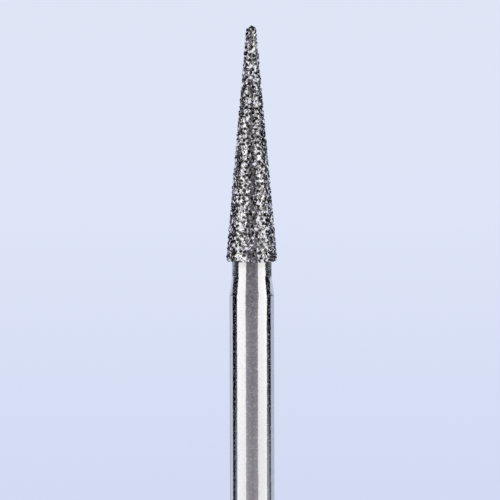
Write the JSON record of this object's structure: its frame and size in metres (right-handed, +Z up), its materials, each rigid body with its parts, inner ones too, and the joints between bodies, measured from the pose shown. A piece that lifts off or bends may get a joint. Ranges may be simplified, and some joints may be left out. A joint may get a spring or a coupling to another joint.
{
  "type": "dental bur",
  "caption": "Friction-grip dental bur: a polished steel shank and neck carrying a long slender tapered head coated with diamond grit, rounded at the tip.",
  "frame": {"origin": "centre of the flat face at the shank's free end", "axes": "+Z up the bur's axis from the shank's end to the tip; X and Y are alike, as the bur is a turned shape"},
  "size_m": [0.0018, 0.0018, 0.019],
  "materials": {
    "steel": "polished",
    "nickel": "satin",
    "diamond": "gloss"
  },
  "bodies": {
    "root": {"steel_blank": "steel", "nickel_bond": "nickel", "diamond_grains": "diamond"}
  },
  "joints": []
}
